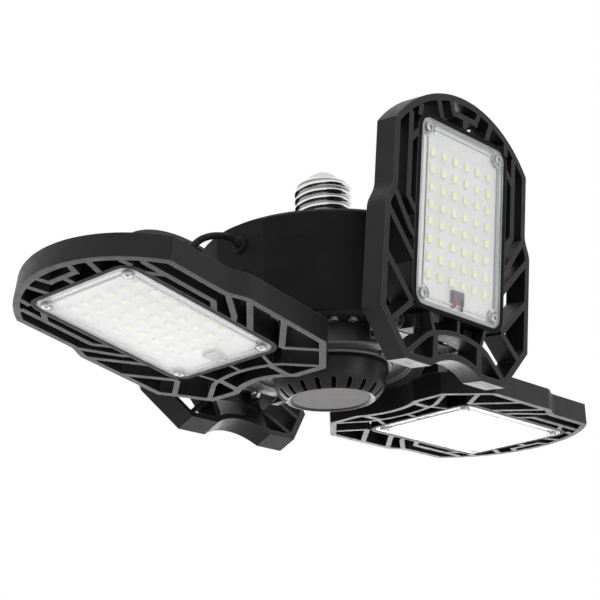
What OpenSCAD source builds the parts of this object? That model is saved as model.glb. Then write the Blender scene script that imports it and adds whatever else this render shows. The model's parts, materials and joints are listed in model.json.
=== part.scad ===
// Garage light with four folding lamp panels on a screw lamp base.
// The origin is the tip of the centre contact and +Z points up into the lampholder.
// The hub hangs below it on the Z axis, and the panels hinge round the hub's lower edge.
// A panel is drawn flat in its own frame: X runs out from its hinge axis to the tip,
// Y runs across it and Z points up, away from the lit face. It is then folded and placed.

/* [Lamp base] */
// Diameter of the screw shell over its crests
shell_d = 26.3; // [25:0.1:27.5]
// Wall of the pressed screw shell
shell_wall = 0.5; // [0.3:0.1:0.9]
// Length of the screw shell
shell_h = 20; // [17:0.5:23]
// Height of the centre contact button
contact_h = 1.6; // [1:0.1:2.5]
// Diameter of the centre contact button
contact_d = 9.6; // [7:0.1:12]
// Height of the insulator that shows between contact and shell
insulator_h = 3.9; // [2.5:0.1:6]

/* [Hub] */
// Radius of the round housing
hub_r = 56.5; // [55.5:0.1:60]
// Depth of the four flats that face the panels, cut into the round housing
flat_cut = 1.7; // [1.1:0.1:3.5]
// Wall of the cover and of the housing
hub_wall = 2.2; // [1.6:0.1:2.8]
// Height of the stem and its collar between the shell and the cover's rim
stem_h = 13.5; // [10:0.5:20]
// Height of the cover's skirt, from its rim to the joint with the housing
cover_skirt = 10.7; // [8:0.1:14]
// Height of the housing below that joint
housing_h = 34.8; // [32:0.2:45]
// Width of the ledge round the recess in the housing's underside
ledge_w = 14.5; // [13.5:0.1:18.5]
// Depth of that recess
recess_h = 2.5; // [1.5:0.1:4]
// Distance from the housing's outside in to the circle of its screws
screw_inset = 9.5; // [8.5:0.1:10.5]
// Drop from the joint of cover and housing to the driver board
board_drop = 21.3; // [20:0.1:24]

/* [Hinges] */
// Distance from the housing's outside in to each hinge axis
hinge_inset = 0.3; // [-3.5:0.1:0.5]
// Drop from the housing's underside to the hinge axes
hinge_drop = 4.5; // [4.5:0.1:8]
// Distance from the middle of the panel to the inner face of each hub ear
ear_in = 21.5; // [21:0.1:24]
// Thickness of each hub ear
ear_t = 4; // [3:0.1:5]
// Radius of the round end of each hub ear
ear_r = 4; // [3.6:0.1:4.2]
// Width of each knuckle on the panel
knuckle_w = 8.7; // [6:0.1:10]
// Radius of each knuckle
knuckle_r = 3.5; // [3.2:0.1:3.8]
// Diameter of the hinge bolts
bolt_d = 3; // [2:0.1:3.4]
// Running clearance round each hinge bolt, on the radius
bolt_fit = 0.05; // [0.02:0.01:0.1]
// Thickness of the friction washers between knuckle and ear
washer_t = 0.6; // [0.4:0.1:0.8]

/* [Fold angles] */
// How far each panel is folded up from flat, in the order a, b, c, d
folds = [11, 83, 0, 67];

/* [Panel frame] */
// Reach from the hinge axis to the tip of the panel
panel_tip = 100; // [99:0.5:110]
// Radius of the arched tip
tip_r = 58; // [56:0.1:65]
// Half the width of the outer part of the panel
waist_half = 45.4; // [44.5:0.1:47]
// Half the width of the inner part of the panel
hip_half = 49.3; // [48.6:0.1:50]
// Reach at which the outer part's width begins
waist_s = 51; // [49:0.5:55]
// Reach at which the inner part's width ends
hip_s = 40.5; // [38:0.5:43]
// Reach at which the slanted heels begin, behind the hinge axis
shoulder_s = -1.5; // [-3:0.1:-1]
// Reach of the heel behind the hinge axis
heel_s = -19.5; // [-21:0.1:-18]
// Half the width of the heel
heel_half = 33; // [31:0.5:34]
// Half the width of the hollow in the heel
notch_half = 17; // [15:0.5:18]
// Depth of the hollow in the heel
notch_h = 5; // [3:0.1:6]
// Depth of the frame from its lit face to its back
frame_h = 10; // [9.5:0.1:13]
// Distance from the hinge axis down to the frame's back
frame_gap = 5.2; // [5:0.1:7]
// Width of the rim
rim_w = 2.8; // [2:0.1:3.4]

/* [Lamp tray] */
// Length of the lens
lens_l = 79.7; // [78:0.1:80.4]
// Width of the lens
lens_w = 56.5; // [55:0.1:57]
// Reach at which the lens begins
lens_s = 4.7; // [4.3:0.1:5]
// Corner radius of the lens
lens_corner = 5; // [3:0.1:6]
// Thickness of the lens's flange
flange_t = 1.5; // [1:0.1:1.8]
// How far the lens's middle stands out from its flange
lens_raise = 0.7; // [0.4:0.1:1]
// Width of the land round the lens
land_w = 2.6; // [2:0.1:3]
// Thickness of the silicone seal under the lens
seal_t = 0.3; // [0.2:0.05:0.5]
// Clearance round the lens and the circuit board
tray_fit = 0.15; // [0.1:0.05:0.2]
// Thickness of the aluminium circuit board
board_t = 1.2; // [1:0.1:1.6]
// Thickness of the floor of the tray
floor_t = 2.5; // [1.8:0.1:3]
// Number of light chips across the board
chips_across = 6; // [4:1:6]
// Number of light chips along the board
chips_along = 8; // [6:1:8]
// Pitch of the light chips across the board
chip_pitch_w = 7.7; // [5:0.1:7.8]
// Pitch of the light chips along the board
chip_pitch_s = 7.5; // [5:0.1:7.8]
// Height of a light chip
chip_h = 0.65; // [0.4:0.05:0.8]

/* [Leads] */
// Diameter of the lead from the hub to each panel
lead_d = 3; // [2.4:0.1:3.4]
// Height of the lead's grommet above the hinge axes
grommet_h = 40.4; // [38:0.1:41]
// Reach at which the lead enters the back of the panel
inlet_s = 36; // [30:0.5:46]

/* [Vent cap] */
// Drop from the hinge axes to the lower face of the hinge carrier
carrier_drop = 4.5; // [4.2:0.1:4.8]
// Width of the flat ring round that lower face
carrier_ring_w = 6.5; // [3.8:0.1:7.2]
// Width of the groove between that ring and the cap's upper edge
groove_w = 9.3; // [9:0.1:10.3]
// Drop from the hinge axes to the lower face of the cap
cap_drop = 18; // [16.5:0.1:20]
// Width of the slotted rim round the plate in the middle of the cap
cap_rim_w = 8.6; // [8:0.1:12]
// Number of vent slots round the cap
vent_count = 20; // [12:1:22]
// Width of each vent slot
vent_w = 2.1; // [1.4:0.1:2.6]

/* [Hidden] */
$fn = 64;
eps = 0.01;

// Heights down the hub, from the contact's tip at zero
insulator_top = -contact_h;
shell_top = insulator_top - insulator_h;
shell_bottom = shell_top - shell_h - 1;
rim_z = shell_bottom - stem_h;
joint_z = rim_z - cover_skirt;
base_z = joint_z - housing_h;
axis_z = base_z - hinge_drop;

// Round the hub: panel a lies towards -X, b towards -Y, c towards +X and d towards +Y
azimuths = [180, 270, 0, 90];
screw_angles = [44, 54];

// Radii of the hub's parts, from its outside inwards
hub_flat = hub_r - flat_cut;
hinge_r = hub_r - hinge_inset;
screw_circle_r = hub_r - screw_inset;
recess_r = hub_r - ledge_w;
carrier_r = recess_r - 0.2;
carrier_ring_r = carrier_r - carrier_ring_w;
cap_r = carrier_ring_r - groove_w;
plate_r = cap_r - cap_rim_w;
spigot_r = cap_r - 2.3;
vent_hole_r = spigot_r - 7.7;

// Heights of the panel's layers in its own frame, below the hinge axis
back_z = -frame_gap;
face_z = back_z - frame_h;
flange_out = face_z;
flange_in = face_z + flange_t;
seat_z = flange_in + seal_t;
floor_in = seat_z + board_t + 0.7;
board_face = floor_in - board_t;
floor_out = floor_in + floor_t;
lens_end = lens_s + lens_l;
lens_half = lens_w / 2;
pocket_in = 2.1;
lens_mid = lens_s + lens_l / 2;
boss_r = 3;
lens_screw_w = lens_half - 4.3;
lens_screw_s = [lens_s + 4.3, lens_end - 4.3];
lens_screw_d = 2.2;

// Across the hinge, measured from the middle of the panel
running_gap = 0.15;
knuckle_out = ear_in - running_gap - washer_t;
knuckle_in = knuckle_out - knuckle_w;
ear_out = ear_in + ear_t;
nut_t = 2.4;
nut_flats = 5.5;
head_t = 2.2;
head_r = 2.8;

// ---- Small functions ----
function unit(v) = v / norm(v);

// A polygon listed anticlockwise, moved inwards by d on every side
function inset(pts, d) = [
    for (i = [0:len(pts) - 1])
        let (
            count = len(pts),
            before = unit(pts[i] - pts[(i + count - 1) % count]),
            after = unit(pts[(i + 1) % count] - pts[i]),
            n1 = [-before.y, before.x],
            n2 = [-after.y, after.x]
        )
        pts[i] + d * (n1 + n2) / (1 + n1 * n2)];

function mirrored(pts) = [for (i = [len(pts) - 1:-1:0]) [pts[i].x, -pts[i].y]];

// Points of a smooth curve through a route, with steps points on each stretch
function curve_point(a, b, c, d, t) =
    0.5 * (2 * b + (c - a) * t + (2 * a - 5 * b + 4 * c - d) * t * t
        + (3 * b - a - 3 * c + d) * t * t * t);
function smooth(pts, steps) = concat(
    [for (i = [0:len(pts) - 2], j = [0:steps - 1])
        curve_point(
            pts[max(i - 1, 0)], pts[i], pts[i + 1], pts[min(i + 2, len(pts) - 1)],
            j / steps)],
    [pts[len(pts) - 1]]);

// ---- Shapes that repeat ----
// A round wire or lead swept along a list of points
module tube(path, d, sides = 8) {
    last = len(path) - 1;
    along = [for (i = [0:last]) unit(path[min(i + 1, last)] - path[max(i - 1, 0)])];
    first_side = unit(cross(along[0], [0.31, 0.93, 0.2]));
    side = [
        for (i = 0, u = first_side; i <= last;
            i = i + 1, u = i > last ? u : unit(u - (u * along[i]) * along[i])) u];
    rings = [
        for (i = [0:last], k = [0:sides - 1])
            path[i] + d / 2 * (cos(360 * k / sides) * side[i]
                + sin(360 * k / sides) * cross(along[i], side[i]))];
    walls = [
        for (i = [0:last - 1], k = [0:sides - 1], half = [0, 1])
            let (
                p = i * sides + k,
                q = i * sides + (k + 1) % sides
            )
            half == 0 ? [p, p + sides, q] : [q, p + sides, q + sides]];
    caps = [
        [for (k = [0:sides - 1]) k],
        [for (k = [sides - 1:-1:0]) last * sides + k]];
    polyhedron(rings, concat(walls, caps));
}

// A rectangle with round corners, from x0 to x1 and as wide as half on each side
module round_rect(x0, x1, half, r) {
    translate([x0 + r, -half])
        square([x1 - x0 - 2 * r, 2 * half]);
    translate([x0, -half + r])
        square([x1 - x0, 2 * (half - r)]);
    for (x = [x0 + r, x1 - r], y = [-half + r, half - r])
        translate([x, y]) circle(r);
}

// A straight bar of the lattice
module bar(p, q, w) {
    n = w / 2 * unit([p.y - q.y, q.x - p.x]);
    polygon([p + n, p - n, q - n, q + n]);
}

// Places what is drawn once beside each of the four flats
module round_hub() {
    for (azimuth = azimuths)
        rotate([0, 0, azimuth]) children();
}

// Puts what is drawn in the panel's own frame where panel i hangs
module on_panel(i) {
    rotate([0, 0, azimuths[i]])
        translate([hinge_r, 0, axis_z])
            rotate([0, -folds[i], 0]) children();
}

// Stretches a side view across the panel, from w0 to w1
module across(w0, w1) {
    translate([0, w1, 0])
        rotate([90, 0, 0])
            linear_extrude(w1 - w0) children();
}

// A pan-head screw with its head's seat at zero and its shank pointing up
module pan_screw(d, shank, head_radius, head_h) {
    rotate_extrude()
        polygon([
            [0, -head_h], [head_radius * 0.62, -head_h], [head_radius * 0.9, -head_h * 0.72],
            [head_radius, -head_h * 0.3], [head_radius, 0], [d / 2, 0],
            [d / 2, shank - 0.4], [d / 2 - 0.4, shank], [0, shank]]);
}

// ---- Lamp base ----
module centre_contact() {
    color("silver")
        rotate_extrude()
            polygon([
                [0, 0], [contact_d * 0.2, 0], [contact_d * 0.36, -contact_h * 0.2],
                [contact_d * 0.47, -contact_h * 0.55], [contact_d / 2, insulator_top],
                [1.5, insulator_top], [1.5, insulator_top - 2.5], [0, insulator_top - 2.5]]);
}

module base_insulator() {
    color("#e6e5e0")
        rotate_extrude()
            polygon([
                [1.55, insulator_top], [contact_d / 2 + 0.9, insulator_top],
                [contact_d / 2 + 1.8, insulator_top - 0.7],
                [shell_d / 2 - 4.2, shell_top], [shell_d / 2 - 4.2, shell_top - 0.8],
                [shell_d / 2 - shell_wall - 2.5, shell_top - 1.6],
                [shell_d / 2 - shell_wall - 0.3, shell_top - 2.6],
                [shell_d / 2 - shell_wall - 0.3, shell_top - 5],
                [shell_d / 2 - shell_wall - 3, shell_top - 5],
                [5.5, insulator_top - 3.4], [1.55, insulator_top - 3.4]]);
}

module screw_shell() {
    outer = shell_d / 2;
    color("#c9ccd2")
        rotate_extrude()
            polygon([
                [outer - 4.1, shell_top], [outer - 2.2, shell_top - 0.3],
                [outer - 0.6, shell_top - 1.3], [outer, shell_top - 2.8],
                [outer, shell_bottom], [outer - shell_wall, shell_bottom],
                [outer - shell_wall, shell_top - 2.8],
                [outer - shell_wall - 0.7, shell_top - 1.9],
                [outer - 2.4, shell_top - 0.9], [outer - 4.1, shell_top - 0.6]]);
}

// ---- Hub ----
// The outline of cover and housing, moved inwards by d
module hub_outline(d) {
    intersection() {
        circle(hub_r - d, $fn = 128);
        square(2 * (hub_flat - d), center = true);
    }
}

grommet_r = lead_d / 2 + 1.45;
grommet_z = axis_z + grommet_h;

// The round holes at the joint of cover and housing, one in the middle of each flat
module grommet_holes() {
    round_hub()
        translate([hub_flat - hub_wall - 3, 0, grommet_z])
            rotate([0, 90, 0]) cylinder(r = grommet_r, h = hub_wall + 6);
}

post_r = 3;
post_foot_r = 4.2;
screw_boss_h = 4;
board_z = joint_z - board_drop;
driver_board_t = 1.6;

module at_posts() {
    round_hub()
        for (angle = screw_angles)
            rotate([0, 0, angle]) translate([screw_circle_r, 0, 0]) children();
}

stem_r = shell_d / 2 + 2.4;
thread_depth = 1.1;
stem_bore_r = 9.5;

// The sloping top of the cover, moved down by d
module cover_profile(d) {
    polygon([
        [0, joint_z - eps], [hub_r + 2, joint_z - eps], [hub_r + 2, rim_z - 1.6 - d],
        [hub_r + 0.1, rim_z - 1.6 - d], [hub_r - 1.5, rim_z - d],
        [hub_r - 8, rim_z + 0.9 - d], [stem_r + 14, rim_z + 3.4 - d],
        [stem_r + 5, rim_z + 5.2 - d], [stem_r + 1.5, rim_z + 8.5 - d],
        [stem_r, shell_bottom - 2.2 - d], [0, shell_bottom - 2.2 - d]]);
}

module top_cover() {
    color("#18181a")
    difference() {
        union() {
            intersection() {
                rotate_extrude($fn = 128) cover_profile(0);
                translate([0, 0, joint_z])
                    linear_extrude(stem_h + cover_skirt) hub_outline(0);
            }
            // The collar that the shell stands on, and the plug that it is crimped to
            translate([0, 0, shell_bottom - 2.3])
                cylinder(r = stem_r - 0.6, h = 2.3);
            translate([0, 0, shell_bottom - eps])
                cylinder(r = shell_d / 2 - thread_depth - shell_wall - 0.1, h = 12);
            // The lip that steps down inside the housing
            translate([0, 0, joint_z - 3])
                linear_extrude(3 + eps) hub_outline(hub_wall + 0.1);
            at_posts()
                translate([0, 0, joint_z - 3])
                    cylinder(r = post_r, h = cover_skirt);
        }
        difference() {
            intersection() {
                rotate_extrude($fn = 128) cover_profile(hub_wall);
                translate([0, 0, joint_z - 4])
                    linear_extrude(stem_h + cover_skirt + 4) hub_outline(hub_wall + 1.3);
            }
            at_posts()
                translate([0, 0, joint_z - 4])
                    cylinder(r = post_r + 0.6, h = cover_skirt + 8);
        }
        difference() {
            translate([0, 0, joint_z - 4])
                linear_extrude(4 + 2 * eps) hub_outline(hub_wall + 1.3);
            at_posts()
                translate([0, 0, joint_z - 4])
                    cylinder(r = post_r + 0.6, h = 5);
        }
        translate([0, 0, joint_z])
            cylinder(r = stem_bore_r, h = -joint_z);
        at_posts()
            translate([0, 0, joint_z - 4])
                cylinder(r = 1.25, h = 11);
        grommet_holes();
        // Air slots in the sloping top
        for (i = [0:23])
            rotate([0, 0, 7.5 + 15 * i])
                translate([stem_r + 15, -1.1, rim_z - 6])
                    cube([13, 2.2, 14]);
    }
}

module driver_housing() {
    color("#161618")
    difference() {
        union() {
            difference() {
                translate([0, 0, base_z]) linear_extrude(housing_h) hub_outline(0);
                translate([0, 0, base_z + recess_h + hub_wall])
                    linear_extrude(housing_h) hub_outline(hub_wall);
            }
            at_posts() {
                translate([0, 0, base_z]) cylinder(r = post_foot_r, h = board_z - base_z);
                translate([0, 0, base_z]) cylinder(r = post_r, h = joint_z - 3.1 - base_z);
            }
            at_carrier_screws()
                translate([0, 0, base_z + recess_h])
                    cylinder(r = post_r, h = hub_wall + screw_boss_h);
        }
        translate([0, 0, base_z - 1]) cylinder(r = recess_r, h = recess_h + 1);
        translate([0, 0, base_z - 1]) cylinder(r = vent_hole_r, h = recess_h + hub_wall + 2);
        // A small bevel round the lower edge
        rotate_extrude($fn = 128)
            polygon([
                [hub_r - 1, base_z - eps], [hub_r + 1, base_z - eps], [hub_r + 1, base_z + 2]]);
        at_posts()
            translate([0, 0, base_z - 1])
                cylinder(r = 1.6, h = housing_h + 2);
        at_carrier_screws()
            translate([0, 0, base_z - 1]) cylinder(r = 1.25, h = recess_h + hub_wall + 6);
        grommet_holes();
    }
}

module housing_screws() {
    color("#5c5c60")
        at_posts()
            translate([0, 0, base_z]) pan_screw(2.4, joint_z - base_z + 5, 2.5, 1.6);
}

module driver_board() {
    color("#3f7d4f")
    difference() {
        translate([0, 0, board_z])
            cylinder(r = hub_flat - hub_wall - 0.6, h = driver_board_t, $fn = 128);
        at_posts()
            translate([0, 0, board_z - 1])
                cylinder(r = post_r + 0.2, h = driver_board_t + 2);
        translate([0, 0, board_z - 1]) cylinder(r = 5, h = driver_board_t + 2);
    }
}

// Power parts that stand on the driver board: smoothing capacitors, transformer, chokes,
// film capacitor, bridge rectifier, fuse and one plug-in socket for each panel's lead
module driver_parts() {
    top = board_z + driver_board_t;
    color("#7a6f4a")
    translate([0, 0, top]) {
        for (x = [-14, 0])
            translate([x, 24, 0]) cylinder(d = 12.5, h = 18);
        translate([14, 22, 0]) cylinder(d = 8, h = 12);
        translate([-12, -32, 0]) cube([24, 20, 4]);
        translate([-10, -28, 4 + eps]) cube([20, 12, 12]);
        for (x = [-30, 22])
            translate([x, -8, 0])
                rotate_extrude()
                    translate([5.5, 3.2]) circle(2.6);
        translate([-34, 8, 0]) cube([13, 6, 11]);
        translate([20, 6, 0]) cube([12, 3.5, 9]);
        translate([26, -26, 0]) cylinder(d = 6, h = 8);
        translate([-30, -22, 0]) cube([8, 3, 6]);
        round_hub()
            translate([39, -4, 0]) cube([6, 8, 6]);
    }
}

// Two wires from the driver board, one to the shell and one to the centre contact
module supply_wires() {
    top = board_z + driver_board_t;
    shell_route = [
        [8.5, 4, top + 0.1], [8.5, 4, top + 8], [6, 3, rim_z - 12], [5.5, 2, rim_z],
        [6, 2, shell_bottom + 4], [6.5, 2, shell_bottom + 9]];
    contact_route = [
        [-8.5, 4, top + 0.1], [-8.5, 4, top + 8], [-5, 3, rim_z - 12], [-3, 1, rim_z],
        [-1, 0, shell_bottom + 6], [0, 0, insulator_top - 8], [0, 0, insulator_top - 2.7]];
    color("#b03a32") tube(smooth(shell_route, 3), 1.7);
    color("#1f1f22") tube(smooth(contact_route, 3), 1.7);
}

module lead_grommets() {
    color("#101012")
    round_hub()
        translate([hub_flat, 0, grommet_z])
            rotate([0, 90, 0])
                rotate_extrude()
                    polygon([
                        [lead_d / 2 + 0.05, -hub_wall - 3], [grommet_r + 0.9, -hub_wall - 3],
                        [grommet_r + 0.9, -hub_wall - 1.6], [grommet_r - 0.05, -hub_wall - 1.6],
                        [grommet_r - 0.05, 0], [grommet_r + 0.9, 0],
                        [grommet_r + 0.9, 0.6], [grommet_r + 0.3, 1.2],
                        [lead_d / 2 + 0.05, 1.2]]);
}

// ---- Hinge carrier and vent cap ----
carrier_z = axis_z - carrier_drop;
carrier_wall = 2.6;
carrier_floor = 3.4;
groove_h = 1.2;
groove_in = cap_r + 1.6;
cap_gap = 0.5;
cap_top = carrier_z + cap_gap;
cap_bottom = axis_z - cap_drop;
cap_wall = 2;
spigot_h = 2.6;
carrier_screw_r = (carrier_ring_r + groove_in) / 2 - 0.2;
carrier_top = base_z + recess_h;
pad_t = 6.5;
pad_in = hinge_r - 10.8;
pad_out = hinge_r - knuckle_r - 1.2;

module at_carrier_screws() {
    round_hub() translate([carrier_screw_r, 0, 0]) children();
}

// One of the four pads that carry the ears, seen from above
module pad_outline() {
    polygon([
        [carrier_r - 4, -17], [pad_in - 2, -17], [pad_in, -ear_out], [pad_out, -ear_out],
        [pad_out, ear_out], [pad_in, ear_out], [pad_in - 2, 17], [carrier_r - 4, 17]]);
}

// One ear seen from the side, round the hinge axis
module ear_outline() {
    difference() {
        union() {
            circle(ear_r);
            polygon([
                [pad_in - hinge_r, hinge_drop], [1.6, hinge_drop], [ear_r - 0.1, 0.8],
                [0, -ear_r], [-6, -ear_r], [pad_in - hinge_r, 0.6]]);
        }
        circle(bolt_d / 2 + bolt_fit);
    }
}

module hinge_carrier() {
    color("#1a1a1c")
    difference() {
        union() {
            rotate_extrude($fn = 128)
                polygon([
                    [spigot_r + 0.05, carrier_top], [spigot_r + 0.05, cap_top],
                    [groove_in, cap_top], [groove_in + 0.4, carrier_z + groove_h],
                    [carrier_ring_r - 0.4, carrier_z + groove_h], [carrier_ring_r, carrier_z],
                    [carrier_r - 0.5, carrier_z], [carrier_r, carrier_z + 0.5],
                    [carrier_r, carrier_top], [carrier_r - carrier_wall, carrier_top],
                    [carrier_r - carrier_wall, carrier_z + carrier_floor],
                    [spigot_r + 2.2, carrier_z + carrier_floor], [spigot_r + 2.2, carrier_top]]);
            at_carrier_screws()
                translate([0, 0, carrier_z + carrier_floor - eps])
                    cylinder(r = post_r, h = carrier_top - carrier_z - carrier_floor + eps);
            round_hub() {
                translate([0, 0, base_z - pad_t]) linear_extrude(pad_t) pad_outline();
                for (side = [-1, 1])
                    translate([hinge_r, 0, axis_z])
                        across(side > 0 ? ear_in : -ear_out, side > 0 ? ear_out : -ear_in)
                            ear_outline();
            }
        }
        at_carrier_screws()
            translate([0, 0, carrier_z - 1])
                cylinder(r = 1.6, h = carrier_top - carrier_z + 2);
    }
}

module carrier_screws() {
    color("#5c5c60")
        at_carrier_screws()
            translate([0, 0, carrier_z + groove_h])
                pan_screw(2.4, carrier_top - carrier_z - groove_h + hub_wall + 3, 2.3, 1.3);
}

// Half section of the cap's outer surface, from the axis to its upper edge
cap_section = [
    [0, cap_bottom], [plate_r + 1.6, cap_bottom], [plate_r + 2.6, cap_bottom + 0.4],
    [cap_r - 4, cap_bottom + 2.3], [cap_r - 2.2, cap_bottom + 5],
    [cap_r - 1, cap_bottom + 8.4], [cap_r - 0.3, cap_top - 2.4], [cap_r, cap_top - 1.3],
    [cap_r - 0.1, cap_top - 0.4], [cap_r - 0.6, cap_top], [0, cap_top]];

module vent_cap() {
    color("#141416")
    difference() {
        union() {
            rotate_extrude($fn = 128) polygon(cap_section);
            translate([0, 0, cap_top - eps])
                cylinder(r = spigot_r, h = spigot_h, $fn = 128);
        }
        // The hollow inside, open towards the hub
        rotate_extrude($fn = 128)
            polygon([
                [0, cap_bottom + 3.4], [cap_r - 6.6, cap_bottom + 3.4],
                [cap_r - 4.4, cap_bottom + 6], [cap_r - 3.2, cap_bottom + 9],
                [spigot_r - cap_wall, cap_top - 1], [spigot_r - cap_wall, cap_top + spigot_h + 1],
                [0, cap_top + spigot_h + 1]]);
        // The seat of the plate
        translate([0, 0, cap_bottom - 1]) cylinder(r = plate_r + 0.05, h = 1 + plate_sink + 2);
        for (i = [0:vent_count - 1])
            rotate([0, 0, 360 * (i + 0.5) / vent_count])
                translate([plate_r - 0.4, 0, 0])
                    rotate([90, 0, 90])
                        linear_extrude(cap_r) {
                            translate([-vent_w / 2, cap_bottom - 1])
                                square([vent_w, 7.2]);
                            translate([0, cap_bottom + 6.2]) circle(d = vent_w);
                        }
    }
}

plate_sink = 0.7;

module cap_plate() {
    color("#8e8987")
        translate([0, 0, cap_bottom + plate_sink])
            rotate_extrude($fn = 128)
                polygon([
                    [0, 0], [plate_r - 0.4, 0], [plate_r, 0.4], [plate_r, 2], [0, 2]]);
}

// ---- Panel frame ----
tip_centre = panel_tip - tip_r;
notch_r = (notch_half * notch_half + notch_h * notch_h) / (2 * notch_h);
bend_steps = 6;

// One side of the panel, from the heel out to beyond the tip
panel_side = concat(
    [[heel_s, -heel_half], [shoulder_s, -hip_half]],
    [for (i = [0:bend_steps])
        let (t = i / bend_steps)
        [hip_s + (waist_s - hip_s) * t,
            -hip_half + (hip_half - waist_half) * t * t * (3 - 2 * t)]],
    [[panel_tip + 20, -waist_half]]);
panel_points = concat(panel_side, mirrored(panel_side));

// Reach at which the arched tip meets the straight sides, after an inset of d
function tip_start(d) = tip_centre + sqrt(pow(tip_r - d, 2) - pow(waist_half - d, 2));

// The panel's outline, moved inwards by d
module panel_outline(d) {
    difference() {
        intersection() {
            polygon(d > 0 ? inset(panel_points, d) : panel_points);
            union() {
                translate([heel_s - 10, -hip_half - 10])
                    square([tip_start(d) - heel_s + 10, 2 * hip_half + 20]);
                intersection() {
                    translate([tip_centre, 0]) circle(tip_r - d, $fn = 128);
                    translate([tip_start(d) - eps, -hip_half])
                        square([tip_r, 2 * hip_half]);
                }
            }
        }
        translate([heel_s + notch_h - notch_r, 0]) circle(notch_r + d, $fn = 128);
    }
}

land_half = lens_half + land_w;
land_start = lens_s - land_w + 0.6;
land_end = lens_end + land_w - 0.5;
arch_r = 55.5;
arch_s = -4;

// The bars of one half of the lattice: two ends and a width
bars = [
    [[hip_s, hip_half - 1], [hip_s - 19, land_half - 1], 2.5],
    [[hip_s - 19, hip_half - 1], [4, land_half - 0.5], 2.5],
    [[4, land_half - 0.5], [-6.8, hip_half - 5.3], 2.3],
    [[waist_s - 4, waist_half - 9.8], [lens_end - 1, waist_half - 9.8], 2.6],
    [[waist_s - 3.6, waist_half - 9.6], [hip_s + 0.8, land_half - 1], 2.4],
    [[waist_s - 3, waist_half - 1.2], [hip_s - 7, land_half + 2.3], 2.4],
    [[hip_s - 7, land_half + 2.3], [hip_s - 9, land_half - 0.5], 2.4],
    [[lens_end - 13.4, waist_half - 9.6], [lens_end - 7.6, land_half - 0.6], 2.4],
    [[lens_end - 2, waist_half - 9.8], [lens_end + 1.4, waist_half - 7.2], 2.4],
    [[lens_end + 4.4, 29.4], [lens_end - 0.8, 30], 2.4],
    [[panel_tip - 4.6, 18.6], [land_end - 0.6, 15.2], 2.5],
    [[panel_tip - 3.6, 9.6], [panel_tip - 9.6, 7], 2.4],
    [[heel_s + 2.2, heel_half], [arch_s - 3.4, 20], 2.1],
    [[arch_s - 3.4, 20], [arch_s - 1.2, 15.2], 2.1],
    [[land_start + 0.6, 18.8], [arch_s - 2, 15.4], 1.6],
    [[arch_s - 1.4, 14.6], [heel_s + 2, 14.6], 3]];

module lattice() {
    difference() {
        panel_outline(0);
        panel_outline(rim_w);
    }
    intersection() {
        panel_outline(rim_w / 2);
        union() {
            for (m = [0, 1])
                mirror([0, m])
                    for (b = bars)
                        bar(b[0], b[1], b[2]);
            // The flat arch that joins the bars behind the hinges
            intersection() {
                translate([arch_s + 0.5 - arch_r, 0])
                    difference() {
                        circle(arch_r + 1, $fn = 128);
                        circle(arch_r - 1, $fn = 128);
                    }
                translate([arch_s - 6, -16]) square([10, 32]);
            }
            bar([land_start + 0.5, 0], [arch_s + 1, 0], 1.6);
            // The shallow dish in the middle of the tip
            bar([panel_tip - 8.3, -7.6], [panel_tip - 8.3, 7.6], 2.4);
            bar([panel_tip - 9, 0], [land_end - 0.5, 0], 2.5);
        }
    }
    round_rect(land_start, land_end, land_half, lens_corner + land_w);
}

// The round corners of the board's pocket that carry the lens screws
module pocket_outline(d) {
    difference() {
        round_rect(lens_s + pocket_in + d, lens_end - pocket_in - d,
            lens_half - pocket_in - d, 3);
        for (s = lens_screw_s, w = [-lens_screw_w, lens_screw_w])
            translate([s, w]) circle(boss_r + d);
    }
}

module at_lens_screws() {
    for (s = lens_screw_s, w = [-lens_screw_w, lens_screw_w])
        translate([s, w, 0]) children();
}

// A knuckle from the side, with its root down on the frame
module knuckle_outline() {
    circle(knuckle_r);
    polygon([
        [-knuckle_r, 0], [knuckle_r, 0], [knuckle_r + 2.5, floor_out - eps],
        [-knuckle_r, floor_out - eps]]);
}

terminal_s = lens_s + 7.6;
fin_t = 1.6;
fin_w = [-22.5, -15, -7.5, 7.5, 15, 22.5];

module frame_body() {
    difference() {
        union() {
            difference() {
                translate([0, 0, face_z]) linear_extrude(frame_h) lattice();
                // The tray's back, open above its floor
                translate([0, 0, floor_out])
                    linear_extrude(frame_h)
                        round_rect(lens_s + 1.2, lens_end - 1.2, lens_half - 0.6, lens_corner);
            }
            // Cooling fins along the back of the tray
            for (w = fin_w)
                translate([lens_s + 8, w - fin_t / 2, floor_out - eps])
                    cube([lens_l - 9.5, fin_t, back_z - floor_out + eps]);
            translate([inlet_s, 0, floor_out - eps])
                cylinder(r = lead_d / 2 + 2, h = back_z - floor_out + 1.2);
            for (side = [-1, 1])
                across(side > 0 ? knuckle_in : -knuckle_out, side > 0 ? knuckle_out : -knuckle_in)
                    knuckle_outline();
        }
        // The lens's seat and the board's pocket
        translate([0, 0, face_z - 1])
            linear_extrude(seat_z - face_z + 1)
                round_rect(lens_s - tray_fit, lens_end + tray_fit, lens_half + tray_fit,
                    lens_corner + tray_fit);
        translate([0, 0, seat_z - eps])
            linear_extrude(floor_in - seat_z + eps) pocket_outline(0);
        at_lens_screws()
            translate([0, 0, seat_z - 1]) cylinder(d = lens_screw_d + 0.1, h = 5.2);
        translate([0, -ear_in, 0])
            rotate([-90, 0, 0]) cylinder(r = bolt_d / 2 + bolt_fit, h = 2 * ear_in);
        translate([inlet_s, 0, floor_in - 1])
            cylinder(r = lead_d / 2 + 0.1, h = frame_h);
        // The channel under the board, from the lead to the wire terminal
        translate([terminal_s, -1.9, floor_in - 1])
            cube([inlet_s - terminal_s, 3.8, 2.2]);
    }
}

module frame(i) { color("#2a2a2c") on_panel(i) frame_body(); }

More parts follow.
